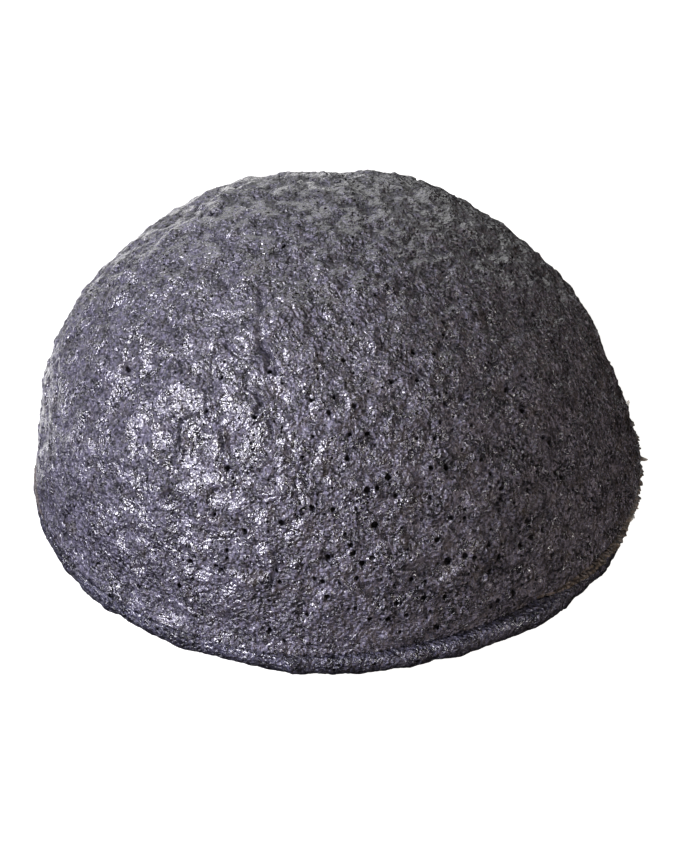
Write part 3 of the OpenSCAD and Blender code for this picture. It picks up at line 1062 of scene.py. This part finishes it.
def foamCore():
    # The dome's inside, a ledge over the lip, a straight wall down to the flat skin, and a flat floor
    share, phi, _ = squareGrid(core["half"])
    onDome, onLedge = core["onDome"], core["onLedge"]
    points = domePoint(np.minimum(share / onDome, 1), phi, core["inset"])
    normals = gridNormals(points)
    depth = poreDepths(points, normals, *core["pores"])[0]
    depth = np.minimum(depth, core["poreDeepest"]) * (share < onDome * core["poreRim"])
    points = points - normals * depth[..., None]
    corner = polar(footRadius(phi) - core["lipInset"], phi, 0)[..., :2]
    across = np.clip((share - onDome) / (onLedge - onDome), 0, 1)[..., None]
    points[..., :2] = points[..., :2] * (1 - across) + corner * across
    fall = np.clip((share - onLedge) / (1 - onLedge), 0, 1)
    wall = dome["bottom"] + (core["bottom"] - dome["bottom"]) * fall
    points[..., 2] = np.where(fall > 0, wall, points[..., 2])
    lowShare, lowPhi, _ = squareGrid(core["half"] // core["ratio"])
    under = polar((footRadius(lowPhi) - core["lipInset"]) * lowShare, lowPhi, core["bottom"])
    # Painted shade in the pores, darker the deeper they are
    piece = closedPiece("foam_core_block", points, under, core["ratio"], coreMaterial,
                        "foam_core", {"poreShade": eased(depth, *core["poreShadeDepths"])})


foamCore()


# Stage: lamps, dark room, floor, world and camera

def aimed(name, data, location, back):
    # A lamp or camera at a place, looking the other way from back
    holder = bpy.data.objects.new(name, data)
    holder.location = location
    holder.rotation_mode = "QUATERNION"
    holder.rotation_quaternion = back.to_track_quat("Z", "Y")
    scene.collection.objects.link(holder)
    return holder


def lamp(name, direction, distance, size, power, colour):
    light = bpy.data.lights.new(name, "AREA")
    light.shape = "DISK"
    light.size = size
    light.energy = power
    light.color = colour
    towards = Vector(direction).normalized()
    return aimed(name, light, Vector(studio["lampAim"]) + towards * distance, towards)


for lampName, look in studio["lamps"].items():
    lamp(lampName + "Lamp", *look).visible_glossy = lampName not in studio["noGlints"]


def seenDirectly(nodes):
    # 1 for the rays that show a thing itself: to the camera, in a mirror and through glass
    path = nodes.add("ShaderNodeLightPath").outputs
    seen = nodes.maths("MAXIMUM", path["Is Camera Ray"], path["Is Transmission Ray"])
    return nodes.maths("MAXIMUM", seen, path["Is Glossy Ray"])


def stageMesh(name, points, quads, material):
    mesh = bpy.data.meshes.new(name)
    mesh.from_pydata(points.reshape(-1, 3).tolist(), [], quads.tolist())
    mesh.materials.append(material)
    thing = bpy.data.objects.new(name, mesh)
    scene.collection.objects.link(thing)
    return thing


def mattMaterial(name, grey, shown=0):
    # A matt grey, glowing only for the rays that show it directly
    material = bpy.data.materials.new(name)
    material.use_nodes = True
    nodes = Nodes(material.node_tree)
    surface = nodes.add("ShaderNodeBsdfDiffuse", {"Color": (grey, grey, grey)}).outputs[0]
    if shown > 0:
        bright = nodes.maths("MULTIPLY", seenDirectly(nodes), shown)
        glow = nodes.add("ShaderNodeEmission", {"Strength": bright}).outputs[0]
        surface = nodes.add("ShaderNodeAddShader", {0: surface, 1: glow}).outputs[0]
    nodes.add("ShaderNodeOutputMaterial", {"Surface": surface})
    return material


def darkRoom():
    # The unlit room behind the camera and on the right, as part of a black sphere, and a black cloth
    # on the table. The camera doesn't see them, but the skin mirrors them.
    cloth = mattMaterial("blackCloth", studio["clothGrey"])
    turn, climb = (np.radians(np.linspace(*studio[key])) for key in ("roomTurn", "roomClimb"))
    a, e = np.meshgrid(turn, climb, indexing="ij")
    sphere = studio["roomRadius"] * polar(np.cos(e), a, np.sin(e))
    room = stageMesh("darkRoom", sphere, gridQuads(*a.shape), cloth)
    a = np.radians(np.linspace(*studio["clothTurn"]))
    near = (footRadius(a) + roundSteps(a, studio["clothGap"])) * mm
    r = np.stack([near, np.full_like(near, studio["roomRadius"])], axis=-1)
    ring = polar(r, a[:, None], studio["clothHeight"])
    flag = stageMesh("blackFlag", ring, gridQuads(*r.shape), cloth)
    room.visible_camera = flag.visible_camera = flag.visible_shadow = False


darkRoom()
tableCorners = studio["tableReach"] * np.array([(-1, -1, 0), (1, -1, 0), (1, 1, 0), (-1, 1, 0)])
paleFloor = mattMaterial("paleFloor", studio["tableGrey"], studio["tableWhite"])
stageMesh("floor", tableCorners, np.array([(0, 1, 2, 3)]), paleFloor)


def whiteWorld():
    scene.world = bpy.data.worlds.new("studio")
    scene.world.use_nodes = True
    nodes = Nodes(scene.world.node_tree)
    shown = nodes.mixed("RGBA", seenDirectly(nodes), studio["worldLight"], (1.0, 1.0, 1.0))
    background = nodes.add("ShaderNodeBackground", {"Color": shown})
    nodes.add("ShaderNodeOutputWorld", {"Surface": background.outputs[0]})


whiteWorld()


def photoCamera():
    # Long lens at the photograph's height, aimed so that the aim point falls on its pixel
    camera = bpy.data.cameras.new("camera")
    camera.sensor_width = view["sensor"]
    camera.lens = view["pixelsPerMm"] * view["distance"] / max(view["frame"]) * view["sensor"]
    camera.clip_start, camera.clip_end = view["clip"]
    back = Vector(viewBack)
    aside = Vector((viewShift[0], 0, 0)) + Vector(viewUp) * viewShift[1]
    place = (Vector(view["aim"]) + aside + back * view["distance"]) * mm
    scene.camera = aimed("camera", camera, place, back)


photoCamera()

scene.view_settings.view_transform = "Standard"
